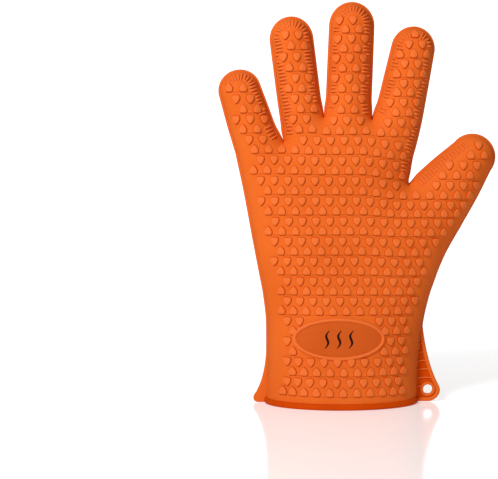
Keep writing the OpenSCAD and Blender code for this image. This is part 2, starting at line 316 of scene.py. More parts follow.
def along_outline(s):
    """The place on the outline a distance s from its start."""
    return np.stack([np.interp(s, walk, outline[:, 0]), np.interp(s, walk, outline[:, 1])], -1)


tangent = along_outline(walk + TANGENT_STEP) - along_outline(walk - TANGENT_STEP)
tangent /= np.linalg.norm(tangent, axis=1)[:, None]
outward = np.stack([-tangent[:, 1], tangent[:, 0]], -1)
web_walks = [walk[np.argmin(np.linalg.norm(outline - w, axis=1))] for w in webs]
from_web = np.min([np.abs(walk - w) for w in web_walks], axis=0)

# the cuff's open end carries on down to here, so that the skin doesn't close at the hem
CUFF_ON = -90.0
boundary = np.concatenate([[[outline[0][0], CUFF_ON]], outline, [[outline[-1][0], CUFF_ON]]])
boundary = boundary[np.concatenate([[True], np.linalg.norm(np.diff(boundary, axis=0), axis=1) > 0.05])]


# ---------------------------------------------------------------- the skin's depth

CHUNK = 4000  # points worked out at a time


def edge_distance(points):
    """A smooth distance to the outline: the true distance near it, with no crease along the middle."""
    out = np.zeros(len(points))
    a, b = boundary[:-1], boundary[1:]
    t = b - a
    length = np.linalg.norm(t, axis=1)
    t = t / length[:, None]
    for lo in range(0, len(points), CHUNK):
        p = points[lo:lo + CHUNK]
        dx, dz = p[:, None, 0] - a[None, :, 0], p[:, None, 1] - a[None, :, 1]
        s1 = -(dx * t[None, :, 0] + dz * t[None, :, 1])
        s2 = s1 + length[None]
        h2 = np.maximum((dx * t[None, :, 1] - dz * t[None, :, 0]) ** 2, 1e-8)
        total = (s2 / (h2 * np.sqrt(h2 + s2 ** 2)) - s1 / (h2 * np.sqrt(h2 + s1 ** 2))).sum(1)
        out[lo:lo + CHUNK] = np.sqrt(2 / np.maximum(total, 1e-12))
    return out


CUFF_DEPTH = pchip([(-6, 30.2), (4, 30), (28, 27.5), (55, 24.5), (74, 22.5), (95, 21.5)])
CUFF_TOP = 95.0                 # height where the cuff's oval section ends
CUFF_FADE = (96.0, 40.0)        # heights between which it turns into the palm's pinched section
PALM_PLATEAU, EDGE_RADIUS = 21.5, 16.3


def depth(points):
    """Half thickness of the glove at points (x, z)."""
    shape = points.shape[:-1]
    p = points.reshape(-1, 2)
    z = p[:, 1]
    d = edge_distance(p)
    body = PALM_PLATEAU * np.sqrt(1 - np.exp(-d * EDGE_RADIUS / PALM_PLATEAU ** 2))
    cuff_z = np.minimum(z, CUFF_TOP)
    a, b = left_x(cuff_z), right_x(cuff_z)
    f = np.clip(2 * (p[:, 0] - a) / (b - a) - 1, -1, 1)
    cuff = CUFF_DEPTH(cuff_z) * np.sqrt(1 - f ** 2)
    w = smooth(*CUFF_FADE, z)
    return (body * (1 - w) + cuff * w).reshape(shape)


def slopes(points, e=0.3):
    """How the depth changes with x and with z."""
    ex, ez = np.array([e, 0.0]), np.array([0.0, e])
    by_x = (depth(points + ex) - depth(points - ex)) / (2 * e)
    by_z = (depth(points + ez) - depth(points - ez)) / (2 * e)
    return by_x, by_z


def lifted(y, side, points):
    """Places (x, z) as points at half thickness y on one face."""
    return np.stack([points[..., 0], side * y, points[..., 1]], -1)


def normals_from(gx, gz, side):
    n = np.stack([-gx, np.full(gx.shape, float(side)), -gz], -1)
    return n / np.linalg.norm(n, axis=-1, keepdims=True)


# ---------------------------------------------------------------- the studs' lattice

# Rows of studs, each with a row of upside down ones half a step below it. From FINGER_ROWS up, each finger
# has columns of its own.
ROW_Z, ROW_PITCH, ROW_HALF = 72.1, 13.49, 6.5
FINGER_ROWS = 187.0
PALM_COLUMNS = pchip([(18.7, 4.4), (31.8, 5.3), (72, 7.4), (98, 8.1), (124, 9.9), (163, 9.2), (187, 11.8)])
PALM_PITCH, PALM_SQUEEZE = 9.1, 6.5e-5
CUFF_ROWS, CUFF_REACH = 115, 66  # below this level the columns draw together, and none is further out
PALM_DROP = pchip([(60, 0), (98, 1.2), (128, 1.8), (143, 3.6), (176, 3.8)])
DROP_ACROSS = (10, 42)           # the rows sink towards the thumb between these x
LITTLE_LIFT = 1.2                # and rise by this towards the little finger
COLUMNS = np.arange(-14, 15)
ROWS = range(-5, 16)
HAND_LEFT, HAND_RIGHT = -200.0, 70.0  # where the outer fingers' columns end
# Each finger: where a column stands by height, how far apart they are, and how far the rows sink by height
FINGER_LATTICE = {
    "little": (pchip([(187, -61.3), (216, -61.2)]), 9.3, pchip([(187, -1.4), (201, -1.4), (216, -2.2)])),
    "ring": (pchip([(187, -32.6), (208, -31.0), (222, -30.5), (252, -28.1)]), 8.7,
             pchip([(187, -1.2), (222, -1.9), (252, -3.9)])),
    "middle": (pchip([(187, 3.3), (208, 5.0), (222, 5.4), (261, 8.2)]), 8.8,
               pchip([(187, 0.3), (194, 0), (201, -0.7), (222, -1.5), (248, -0.8), (261, 0.3)])),
    "index": (pchip([(187, 39.6), (214, 42.2), (228, 42.2), (247, 45.8)]), 8.7,
              pchip([(187, 1.7), (212, 1.6), (221, 2.5), (247, 3.3)])),
}


def lattice_row(level, half_step):
    """The places of one row of studs, wherever the skin may be."""
    columns = COLUMNS - half_step
    if level < FINGER_ROWS:
        x = PALM_COLUMNS(level) + PALM_PITCH * columns
        if level < CUFF_ROWS:  # the cuff turns away at both sides
            x = x[np.abs(x) < CUFF_REACH]
            x = x - PALM_SQUEEZE * (1 - level / CUFF_ROWS) * x ** 3
        lift = LITTLE_LIFT * smooth(-10, -50, x) * smooth(120, 180, level)
        drop = PALM_DROP(level) * smooth(*DROP_ACROSS, x) - lift
        return np.stack([x, level - drop], -1)
    places = []
    sides = [HAND_LEFT] + [w[0] for w in WEBS[:3]] + [HAND_RIGHT]
    for name, low, high in zip(FINGERS, sides, sides[1:]):
        column, pitch, drop = FINGER_LATTICE[name]
        x = column(level) + pitch * columns
        x = x[(x > low) & (x < high)]
        places.append(np.stack([x, np.full(len(x), level - float(drop(level)))], -1))
    return np.concatenate(places)


OVAL_CLEAR = 0.8  # between the oval and the middle of a stud, beyond the ring
LOWEST_STUD = 9
oval_out = np.array(OVAL) + OVAL_CLEAR
stud_places = []
for k in ROWS:
    for upside_down in (False, True):
        level = ROW_Z + ROW_PITCH * k - (ROW_HALF if upside_down else 0.0)
        for p in lattice_row(level, 0.5 if upside_down else 0.0):
            gap = np.linalg.norm(outline - p, axis=1)
            near = int(np.argmin(gap))
            inside = (p - outline[near]) @ outward[near] < 0
            off_oval = np.hypot((p[0] - OVAL_AT[0]) / oval_out[0], (p[1] - OVAL_AT[1]) / oval_out[1]) > 1
            if inside and off_oval and p[1] > LOWEST_STUD and np.all(gap > clear - 0.01):
                stud_places.append((p, upside_down))


# ---------------------------------------------------------------- materials

def silicone(name, colour, deep, rough):
    """Satin moulded silicone: a slow drift between two colours, a fine matt grain and slight marks."""
    m = bpy.data.materials.new(name)
    m.use_nodes = True
    n, l = m.node_tree.nodes, m.node_tree.links
    n.clear()
    out = n.new("ShaderNodeOutputMaterial")
    bsdf = n.new("ShaderNodeBsdfPrincipled")
    coord = n.new("ShaderNodeTexCoord")
    drift, grain, marks = (n.new("ShaderNodeTexNoise") for _ in range(3))
    for tex, scale, detail in ((drift, 28.0, 3.0), (grain, 2600.0, 2.0), (marks, 240.0, 4.0)):
        tex.inputs["Scale"].default_value = scale
        tex.inputs["Detail"].default_value = detail
        l.new(coord.outputs["Object"], tex.inputs["Vector"])
    mix = n.new("ShaderNodeMix")
    mix.data_type = "RGBA"
    mix.inputs["A"].default_value = (*deep, 1)
    mix.inputs["B"].default_value = (*colour, 1)
    ramp = n.new("ShaderNodeMapRange")
    ramp.inputs["From Min"].default_value = 0.3
    ramp.inputs["From Max"].default_value = 0.62
    rough_map = n.new("ShaderNodeMapRange")
    rough_map.inputs["To Min"].default_value = rough - 0.07
    rough_map.inputs["To Max"].default_value = rough + 0.09
    bump = n.new("ShaderNodeBump")
    bump.inputs["Strength"].default_value = 0.12
    bump.inputs["Distance"].default_value = 0.0002
    l.new(drift.outputs["Fac"], ramp.inputs["Value"])
    l.new(ramp.outputs["Result"], mix.inputs["Factor"])
    l.new(mix.outputs["Result"], bsdf.inputs["Base Color"])
    l.new(marks.outputs["Fac"], rough_map.inputs["Value"])
    l.new(rough_map.outputs["Result"], bsdf.inputs["Roughness"])
    l.new(grain.outputs["Fac"], bump.inputs["Height"])
    l.new(bump.outputs["Normal"], bsdf.inputs["Normal"])
    l.new(bsdf.outputs["BSDF"], out.inputs["Surface"])
    bsdf.inputs["Specular IOR Level"].default_value = 0.02
    return m


# the skin; a lighter copy of it as painted highlight on the tops of studs and ribs, the oval ring and the
# tab's ribs; a darker copy as painted shade on the feet of studs, the sides of ribs, the flange's ridge, the
# tab's sunk face and the hem bead; and the oval panels
ORANGE = silicone("orange_silicone", (0.71, 0.133, 0.018), (0.66, 0.116, 0.014), 0.5)
# painted highlight: a lighter copy of the skin's orange, put on raised tops
ORANGE_PAINTED_HIGHLIGHT = silicone("orange_silicone_painted_highlight", (0.75, 0.160, 0.034), (0.71, 0.140, 0.028), 0.45)
# painted shade: a darker, redder copy of the skin's orange, put where shade falls
ORANGE_PAINTED_SHADE = silicone("orange_silicone_painted_shade", (0.56, 0.060, 0.001), (0.50, 0.050, 0.001), 0.55)
ORANGE_SMOOTH = silicone("orange_silicone_smooth", (0.57, 0.098, 0.014), (0.52, 0.086, 0.011), 0.42)
INK = silicone("black_ink", (0.02, 0.008, 0.006), (0.012, 0.005, 0.004), 0.5)


# ---------------------------------------------------------------- mesh helpers

class Build:
    """Collects points in mm and faces for one piece."""

    def __init__(self, name):
        self.name = name
        self.points, self.faces, self.slots, self.mats = [], [], [], []
        self.count = 0
        self.normals = {}

    def add(self, points, faces, material):
        if material not in self.mats:
            self.mats.append(material)
        points = np.asarray(points, float).reshape(-1, 3)
        self.points.append(points)
        self.faces.append(np.asarray(faces) + self.count)
        self.slots.append(np.full(len(faces), self.mats.index(material)))
        self.count += len(points)

    def patch(self, grid, out, material, closed=False):
        """A sheet of quads over grid (rows, columns, 3) facing the way of out. A closed one joins its last
        column to its first."""
        rows, cols = grid.shape[:2]
        index = np.arange(rows * cols).reshape(rows, cols)
        if closed:
            index = np.concatenate([index, index[:, :1]], 1)
        a, b, c, d = index[:-1, :-1], index[:-1, 1:], index[1:, 1:], index[1:, :-1]
        flat = grid.reshape(-1, 3)
        facing = np.cross(flat[c] - flat[a], flat[d] - flat[b])
        quads = np.stack([a, b, c, d], -1).reshape(-1, 4)
        if (facing * np.broadcast_to(out, facing.shape)).sum() < 0:
            quads = quads[:, ::-1]
        self.add(flat, quads, material)

    def fan(self, ring, tip, out, material, closed=True):
        """Triangles from a ring, or an open row, of points to one point."""
        n = len(ring)
        k = np.arange(n if closed else n - 1)
        tris = np.stack([k, (k + 1) % n, np.full(len(k), n)], -1)
        points = np.vstack([ring, np.asarray(tip).reshape(1, 3)])
        a, b, c = points[tris].transpose(1, 0, 2)
        facing = np.cross(b - a, c - a).sum(0)
        self.add(points, tris if facing @ np.asarray(out, float) > 0 else tris[:, ::-1], material)

    def keep_normals(self, points, normals):
        """Points on the border with another piece, which both pieces shade the same way."""
        for p, n in zip(points.reshape(-1, 3), normals.reshape(-1, 3)):
            self.normals[tuple(np.round(p, 2))] = n

    def make(self, weld=1e-5):
        mesh = bpy.data.meshes.new(self.name)
        faces = [f.tolist() for group in self.faces for f in group]
        mesh.from_pydata((np.concatenate(self.points) * MM).tolist(), [], faces)
        mesh.polygons.foreach_set("material_index", np.concatenate(self.slots).astype(np.int32))
        mesh.polygons.foreach_set("use_smooth", np.ones(len(faces), bool))
        for m in self.mats:
            mesh.materials.append(m)
        obj = bpy.data.objects.new(self.name, mesh)
        bpy.context.scene.collection.objects.link(obj)
        bm = bmesh.new()
        bm.from_mesh(mesh)
        bmesh.ops.remove_doubles(bm, verts=bm.verts, dist=weld)
        bm.to_mesh(mesh)
        bm.free()
        mesh.update()
        if self.normals:
            co = np.zeros(len(mesh.vertices) * 3)
            mesh.vertices.foreach_get("co", co)
            keys = np.round(co.reshape(-1, 3) / MM, 2)
            mesh.normals_split_custom_set_from_vertices(
                [self.normals.get(tuple(k), (0.0, 0.0, 0.0)) for k in keys])
        return obj


pieces = {}


def build(key):
    """The piece of skin of this name, started when it is first asked for."""
    if key not in pieces:
        pieces[key] = Build(f"{key}_skin")
    return pieces[key]


# ---------------------------------------------------------------- skins, outside and inside

SHARED_FROM = 4  # half thickness from which two pieces shade their border alike


def grid_normals(grid, side):
    """Unit normals of a sheet, level with the seam at its two edges."""
    n = np.cross(np.gradient(grid, axis=0), np.gradient(grid, axis=1))
    n[:, [0, -1], 1] = 0
    n /= np.maximum(np.linalg.norm(n, axis=-1, keepdims=True), 1e-9)
    flip = np.sign(n[:, 1:-1, 1].mean()) * side
    return n * flip


def thin(n, step=2):
    """Every other index, with the last one."""
    return np.unique(np.append(np.arange(0, n, step), n - 1))


def add_skin(b, flat, y, pole=None, web_columns=(), shared=()):
    """One stretch of skin, outside and inside, on both faces of the glove. The pole closes a tip."""
    y = y.copy()
    y[:, [0, -1]] = 0
    y[0, list(web_columns)] = 0
    for side in (FRONT, BACK):
        out = np.array([0.0, side, 0.0])
        sheet = lifted(y, side, flat)
        b.patch(sheet, out, ORANGE)
        inner = sheet - WALL * grid_normals(sheet, side)
        inner[..., 1] = side * np.maximum(side * inner[..., 1], 0)
        r, c = thin(len(flat)), thin(flat.shape[1])
        inner = inner[np.ix_(r, c)]
        b.patch(inner, -out, ORANGE)
        if pole is not None:
            b.fan(sheet[-1], [pole[0], 0, pole[1]], out, ORANGE, closed=False)
            b.fan(inner[-1], [pole[0], 0, pole[1]], -out, ORANGE, closed=False)
        for row in shared:
            deep = np.flatnonzero(y[row] > SHARED_FROM)
            n = normals_from(*slopes(flat[row][deep]), side)
            b.keep_normals(sheet[row][deep], n)


for name in ORDER:
    digit = DIGIT[name]
    rows, pole, ends = digit_grid[name]
    y = depth(rows)
    for k, part in enumerate(digit.parts):
        span = slice(ends[k], ends[k + 1] + 1)
        last = k == len(digit.parts) - 1
        add_skin(build(f"{name}_{part}"), rows[span], y[span], pole if last else None,
                 shared=(0,) if last else (0, -1))
finger_gaps = [k * FINGER_COLS for k in (1, 2, 3)]
add_skin(build("palm"), upper_palm, depth(upper_palm), web_columns=finger_gaps, shared=(0,))
add_skin(build("palm"), lower_palm, depth(lower_palm), web_columns=[n_cols], shared=(0,))


# ---------------------------------------------------------------- which piece a place on the skin belongs to

BESIDE, BELOW = 1.0, 16  # how far outside a digit's edge, and below its root, a place may still be its own


def piece_at(p):
    for name in ORDER:
        digit = DIGIT[name]
        a, b = first_rows[name][0], first_rows[name][-1]
        above = (b[0] - a[0]) * (p[1] - a[1]) - (b[1] - a[1]) * (p[0] - a[0]) > 0
        along, across = digit.local(p)
        if above and abs(across) < digit.half(along) + BESIDE and along > ROOT - BELOW:
            for part, cut in zip(digit.parts, digit.cuts + [math.inf]):
                if along < cut:
                    return f"{name}_{part}"
    return "palm"


# ---------------------------------------------------------------- studs

# Right half of a stud's outline, from the middle of its blunt end to its point
STUD = [(0, 2.65), (1.15, 2.75), (2.0, 2.5), (2.55, 1.9), (2.75, 1.05), (2.55, 0.0), (2.05, -1.1),
        (1.35, -2.1), (0.6, -2.85), (0, -3.1)]
# The stud's sections from its foot to its top: share of the outline's size, and share of its height
STUD_SECTIONS = [(1.08, -0.2), (1.04, 0.05), (1.0, 0.55), (0.94, 0.86), (0.83, 0.99), (0.45, 1.03)]
STUD_SIDE = 4  # how many of these sections make up its side
half_stud = np.array(STUD)
stud_down = np.vstack([half_stud, half_stud[-2:0:-1] * [-1, 1]])[::-1]  # anticlockwise seen from outside
stud_up = (stud_down * [1, -1])[::-1]

studs = [(p, stud_up if upside_down else stud_down) for p, upside_down in stud_places]
centres = np.array([p for p, _ in studs])
gx, gz = slopes(centres)
stud_flat = np.array([[p + shape * share for share, _ in STUD_SECTIONS] for p, shape in studs])
stud_y, centre_y = depth(stud_flat), depth(centres)
stud_piece = [piece_at(p) for p in centres]
for side in (FRONT, BACK):
    normal = normals_from(gx, gz, side)
    for i, key in enumerate(stud_piece):
        rise = np.array([h for _, h in STUD_SECTIONS])[:, None, None] * STUD_OUT * normal[i]
        rings = lifted(stud_y[i], side, stud_flat[i]) + rise
        top = lifted(centre_y[i], side, centres[i]) + STUD_OUT * STUD_SECTIONS[-1][1] * normal[i]
        b = build(key)
        # each stud's side, from its foot up, gets the darker orange as painted shade, and its top the
        # lighter orange as painted highlight
        b.patch(rings[:STUD_SIDE], normal[i], ORANGE_PAINTED_SHADE, closed=True)
        b.patch(rings[STUD_SIDE - 1:], normal[i], ORANGE_PAINTED_HIGHLIGHT, closed=True)
        b.fan(rings[-1], top, normal[i], ORANGE_PAINTED_HIGHLIGHT)


# ---------------------------------------------------------------- ribs along the digits' edges

RIB_FROM, RIB_TO, RIB_HALF = 1.6, 7.0, 0.78  # where it starts and ends, in from the edge, and half its width
RIB_STEP, RIB_SHORTEST = 0.3, 1.6
RIB_STUD_GAP, RIB_WEB_GAP = 3.75, 5          # how near a stud's middle, and a gap's bottom, a rib may come
TIP_SPREAD = 1.35                            # ribs round a tip stand this much further apart
RIB_END = 0.75                               # share of its width at its ends
# along a rib: share of its length, and share of its height
RIB_STEPS = np.array([0.0, 0.12, 0.35, 0.65, 0.88, 1.0])
RIB_SWELL = np.array([-0.35, 0.75, 1.0, 1.0, 0.7, -0.35])
RIB_FOOT = -0.3
# across a rib: share of half its width, and share of its height
RIB_SECTION = [(-1.0, -0.3), (-0.78, 0.6), (-0.4, 1.0), (0.4, 1.0), (0.78, 0.6), (1.0, -0.3)]


def on_tip(p):
    """Whether a place is on the round end of a digit."""
    places = [(DIGIT[n], *DIGIT[n].local(p)) for n in ORDER]
    return any(along > digit.end and abs(across) < digit.tip for digit, along, across in places)


rib_lines = []
place = RIB_PITCH
while place < walk[-1]:
    i = int(np.argmin(np.abs(walk - place)))
    p, inward = along_outline(place), -outward[i]
    place += RIB_PITCH * (TIP_SPREAD if on_tip(p) else 1.0)
    if not ribbed[i] or from_web[i] < RIB_WEB_GAP:
        continue
    reach = RIB_FROM
    while reach < RIB_TO:
        onward = p + inward * (reach + RIB_STEP)
        if np.linalg.norm(centres - onward, axis=1).min() <= RIB_STUD_GAP:
            break
        reach += RIB_STEP
    if reach - RIB_FROM > RIB_SHORTEST:
        rib_lines.append((p + inward * RIB_FROM, p + inward * reach))

rib_flat = []
for a, b in rib_lines:
    d = (b - a) / np.linalg.norm(b - a)
    across = np.array([-d[1], d[0]])
    narrow = [RIB_END if swell < 0 else 1 for swell in RIB_SWELL]
    rib_flat.append([[a + (b - a) * t + across * RIB_HALF * w * share for w, _ in RIB_SECTION]
                     for t, share in zip(RIB_STEPS, narrow)])
rib_flat = np.array(rib_flat)
rib_y = depth(rib_flat)
rib_mid = rib_flat[:, 2, 2]
rgx, rgz = slopes(rib_mid)
rib_piece = [piece_at(p) for p in rib_mid]
swell = RIB_SWELL[:, None] * np.array([h for _, h in RIB_SECTION])[None]
swell[[0, -1]] = RIB_FOOT
for side in (FRONT, BACK):
    normal = normals_from(rgx, rgz, side)
    for i, key in enumerate(rib_piece):
        grid = lifted(rib_y[i], side, rib_flat[i]) + swell[..., None] * RIB_OUT * normal[i]
        b = build(key)
        # each rib's two sides get the darker orange as painted shade, and its top the lighter orange as
        # painted highlight
        b.patch(grid[:, :2], normal[i], ORANGE_PAINTED_SHADE)
        b.patch(grid[:, 1:-1], normal[i], ORANGE_PAINTED_HIGHLIGHT)
        b.patch(grid[:, -2:], normal[i], ORANGE_PAINTED_SHADE)


# ---------------------------------------------------------------- fine steps between upside down studs

# A step's section: how far below (-) or above its line, and how far out of the skin
STEP_SECTION = [(-0.35, -0.3), (-0.28, 0.26), (0.25, 0.24), (1.7, -0.06)]
STEP_DROP = 2.45                            # from the studs' centres down to the step
STEP_SIDE, STEP_REACH, STEP_RISE = 5, 11, 2.5  # the next stud: least way aside, most distance, most rise
STEP_ALONG = np.linspace(0.2, 0.8, 5)       # from one stud's centre to the next's
turned_studs = np.array([p for p, upside_down in stud_places if upside_down])
step_lines = []
for p in turned_studs:
    off = turned_studs - p
    near = (np.linalg.norm(off, axis=1) < STEP_REACH) & (np.abs(off[:, 1]) < STEP_RISE)
    beside = turned_studs[near & (turned_studs[:, 0] > p[0] + STEP_SIDE)]
    if len(beside):
        q = beside[np.argmin(np.linalg.norm(beside - p, axis=1))]
        step_lines.append((p - [0, STEP_DROP], q - [0, STEP_DROP]))
step_flat = np.array([[[a + (b - a) * t + [0, w] for w, _ in STEP_SECTION] for t in STEP_ALONG]
                      for a, b in step_lines])
step_y = depth(step_flat)
step_mid = step_flat[:, 2, 1]
sgx, sgz = slopes(step_mid)
step_piece = [piece_at(p) for p in step_mid]
step_rise = np.array([h for _, h in STEP_SECTION])[None, :, None]
for side in (FRONT, BACK):
    normal = normals_from(sgx, sgz, side)
    for i, key in enumerate(step_piece):
        build(key).patch(lifted(step_y[i], side, step_flat[i]) + step_rise * normal[i], normal[i], ORANGE)


# ---------------------------------------------------------------- seam flange along the outline

FLANGE_AT_GAP, FLANGE_GROWS = 0.25, (1.0, 9.0)  # how far out at a gap's bottom, and where it grows from that
FLANGE_FOOT, FLANGE_SHOULDER = 0.7, 0.72        # how far its feet are sunk, and its shoulders' share of it
FLANGE_ACROSS = np.array([-0.62, -0.5, -0.27, 0.27, 0.5, 0.62])
flange_out = FLANGE_AT_GAP + (FLANGE_OUT - FLANGE_AT_GAP) * smooth(*FLANGE_GROWS, from_web)
for key, i0, i1 in run_ends:
    span = slice(i0, i1 + 1)
    out = flange_out[span][:, None]
    foot, shoulder = np.full_like(out, -FLANGE_FOOT), out * FLANGE_SHOULDER
    reach = np.concatenate([foot, shoulder, out, out, shoulder, foot], 1)
    y = FLANGE_ACROSS * FLANGE_T
    flat = outline[span][:, None] + reach[..., None] * outward[span][:, None]
    grid = np.stack([flat[..., 0], np.broadcast_to(y, reach.shape), flat[..., 1]], -1)
    out3 = np.stack([outward[span][:, 0], np.zeros(len(out)), outward[span][:, 1]], -1)
    b = build(key)
    b.patch(grid[:, :2], out3[:-1, None], ORANGE)
    # the flange's outer ridge gets the darker orange as painted shade along the outline
    b.patch(grid[:, 1:5], out3[:-1, None], ORANGE_PAINTED_SHADE)
    b.patch(grid[:, 4:], out3[:-1, None], ORANGE)


# ---------------------------------------------------------------- the hanging tab

TAB_HOLE, TAB_HOLE_R, TAB_LOBE_R = np.array([60.0, 8.8]), 3.25, 8.4
TAB_TOP, TAB_HALF_T, TAB_TOP_HALF_T = 54.0, 1.5, 0.85
TAB_THIN = 38                            # height from which it gets thinner towards its top
TAB_PULL, TAB_TOP_X = (59.0, 27.0), 56.4  # the outer edge's curve: the point that pulls it, and its end
TAB_ROOT = 1.0                           # how far its side inside the cuff is from the cuff's edge
TAB_RIM, TAB_SUNK = 2.6, 0.7             # width of the rim, and depth of the faces below it
TAB_RIB_Z, TAB_RIB_PITCH, TAB_RIBS = 11.0, 5.9, 6
TAB_RIB_WIDTH = 0.42
TAB_STEPS = 40

t = np.linspace(0, 1, TAB_STEPS)[1:, None]
turned = np.radians(np.linspace(-90, 0, 22))
corner = TAB_HOLE + TAB_LOBE_R * np.stack([np.cos(turned), np.sin(turned)], -1)
sweep_from, sweep_pull = TAB_HOLE + [TAB_LOBE_R, 1.0], np.array(TAB_PULL)
sweep_to = np.array([TAB_TOP_X, TAB_TOP])
outer = np.vstack([corner, sweep_from * (1 - t) ** 2 + 2 * sweep_pull * t * (1 - t) + sweep_to * t * t])
inner_z = np.linspace(TAB_TOP, TAB_HOLE[1] - TAB_LOBE_R, TAB_STEPS)
inner = np.stack([right_x(inner_z) - TAB_ROOT, inner_z], -1)
foot = np.linspace(inner[-1], outer[0], 8)[1:-1]
tab_line = np.vstack([outer, inner, foot])
way = np.roll(tab_line, -1, axis=0) - np.roll(tab_line, 1, axis=0)
tab_out = np.stack([way[:, 1], -way[:, 0]], -1)
tab_out /= np.linalg.norm(tab_out, axis=1)[:, None]
tab_out[len(outer):len(outer) + len(inner)] = 0  # the side inside the cuff stays where it is
ROOM = 0.75  # where the tab is narrow, its rim takes at most this share of its width
tab_width = tab_line[:, 0] - right_x(tab_line[:, 1]) + TAB_ROOT
tab_room = np.minimum(1.0, ROOM * tab_width / TAB_RIM)[:, None]
tab_thick = TAB_HALF_T + (TAB_TOP_HALF_T - TAB_HALF_T) * smooth(TAB_THIN, TAB_TOP, tab_line[:, 1])
face = 1 - TAB_SUNK / TAB_HALF_T
# rings from the middle of the edge inwards: how far in, and the share of the tab's half thickness
tab_rings = [(0.0, 0.0), (0.0, 0.62), (0.14, 0.86), (0.45, 1.0), (TAB_RIM - 0.5, 1.0), (TAB_RIM - 0.2, 0.93),
             (TAB_RIM, 0.7), (TAB_RIM + 0.2, face)]
sunk = len(tab_rings)
spoke = np.arctan2(tab_line[:, 1] - TAB_HOLE[1], tab_line[:, 0] - TAB_HOLE[0])
spoke = np.stack([np.cos(spoke), np.sin(spoke)], -1)
# and the land round the hole: radius, and the share again
land = [(TAB_HOLE_R + 1.8, face), (TAB_HOLE_R + 1.55, 0.93), (TAB_HOLE_R + 1.3, 1.0),
        (TAB_HOLE_R + 0.3, 1.0), (TAB_HOLE_R + 0.08, 0.9), (TAB_HOLE_R, 0.7), (TAB_HOLE_R, 0.0)]
first_land = TAB_HOLE + spoke * land[0][0]
tab = pieces.setdefault("tab", Build("hanging_tab"))
for side in (FRONT, BACK):
    flat = [tab_line - inset * tab_room * tab_out for inset, _ in tab_rings]
    tall = [share * tab_thick for _, share in tab_rings]
    last, low = flat[-1], tall[-1]
    for share in (0.33, 0.67):
        flat.append(last + (first_land - last) * share)
        tall.append(low + (land[0][1] * TAB_HALF_T - low) * share)
    flat += [TAB_HOLE + spoke * r for r, _ in land]
    tall += [np.full(len(spoke), share * TAB_HALF_T) for _, share in land]
    sheet = np.stack([np.array(flat)[..., 0], side * np.array(tall), np.array(flat)[..., 1]], -1)
    tab.patch(sheet[:sunk - 1], (0, side, 0), ORANGE, closed=True)
    # the sunk face inside the rim, from the rim's inner slope to the land round the hole, gets the darker
    # orange as painted shade
    tab.patch(sheet[sunk - 2:sunk + 3], (0, side, 0), ORANGE_PAINTED_SHADE, closed=True)
    tab.patch(sheet[sunk + 2:], (0, side, 0), ORANGE, closed=True)
    for k in range(TAB_RIBS):
        z = TAB_RIB_Z + TAB_RIB_PITCH * k
        edge = float(np.interp(z, outer[len(corner) - 1:, 1], outer[len(corner) - 1:, 0]))
        x0, x1 = float(right_x(z)) - 0.6, edge - 0.8 * TAB_RIM
        if z < TAB_HOLE[1] + TAB_HOLE_R + 1:  # beside the hole, it stops at the land
            x1 = min(x1, TAB_HOLE[0] - TAB_HOLE_R - 0.9)
        section = [(TAB_HALF_T - TAB_SUNK + h * TAB_SUNK, z + TAB_RIB_WIDTH * w) for w, h in RIB_SECTION]
        bar = np.array([[[x, side * high, up] for high, up in section] for x in np.linspace(x0, x1, 5)])
        # the tab's ribs get the lighter orange as painted highlight
        tab.patch(bar, (0, side, 0), ORANGE_PAINTED_HIGHLIGHT)


# ---------------------------------------------------------------- the small ear on the cuff's other corner

EAR_FOOT, EAR_TOP, EAR_HALF_T, EAR_TOP_HALF_T = 0.4, 44.0, 1.15, 0.55
# how far the ear stands out of the cuff, by height
EAR_OUT = pchip([(EAR_FOOT, 6.6), (1.0, 8.0), (1.9, 8.8), (4, 9.0), (8, 6.9), (15, 4.2), (24, 2.4),
                 (34, 1.2), (EAR_TOP, 0.2)])
# across its edge, from the front face to the back one: how far in, and share of half its thickness
EAR_SECTION = [(0.9, 1.0), (0.4, 0.88), (0.1, 0.5), (0.0, 0.0), (0.1, -0.5), (0.4, -0.88), (0.9, -1.0)]
ear_z = np.concatenate([np.linspace(EAR_FOOT, 4, 10), np.linspace(4, EAR_TOP, 34)[1:]])
ear_half = EAR_HALF_T + (EAR_TOP_HALF_T - EAR_HALF_T) * smooth(20, EAR_TOP, ear_z)
ear_root = left_x(ear_z) + TAB_ROOT
ear_columns = [(ear_root, ear_half)]
for inset, share in EAR_SECTION:
    ear_columns.append((np.minimum(left_x(ear_z) - EAR_OUT(ear_z) + inset, ear_root), share * ear_half))
ear_columns.append((ear_root, -ear_half))
ear_sheet = np.stack([np.stack([x, -y, ear_z], -1) for x, y in ear_columns], 1)
ear = Build("corner_ear")
ear.patch(ear_sheet, (-1, 0, 0), ORANGE)
half = len(ear_columns) // 2 + 1
for row, way in ((0, -1), (-1, 1)):  # its foot and its top
    ear.patch(np.stack([ear_sheet[row, :half], ear_sheet[row, ::-1][:half]], 1), (0, 0, way), ORANGE)


# ---------------------------------------------------------------- the hem bead, the ovals and the mark

def sweep_ring(b, angles, place, section, material):
    """A closed band, where place(angles, o, h) gives the points of one line along it."""
    grid = np.array([place(angles, o, h) for o, h in section])
    middle = grid.mean(0)
    faces_out = (grid[:-1] + grid[1:]) / 2 - middle
    b.patch(grid, faces_out, material, closed=True)


HEM_STEPS = 144
turn = np.linspace(0, 2 * math.pi, HEM_STEPS, endpoint=False)
HEM_MID_Z = 2.0
hem_a = np.array([float(left_x(HEM_MID_Z)), float(right_x(HEM_MID_Z))])
hem_mid, hem_half, hem_deep = hem_a.mean(), (hem_a[1] - hem_a[0]) / 2, float(CUFF_DEPTH(HEM_MID_Z))


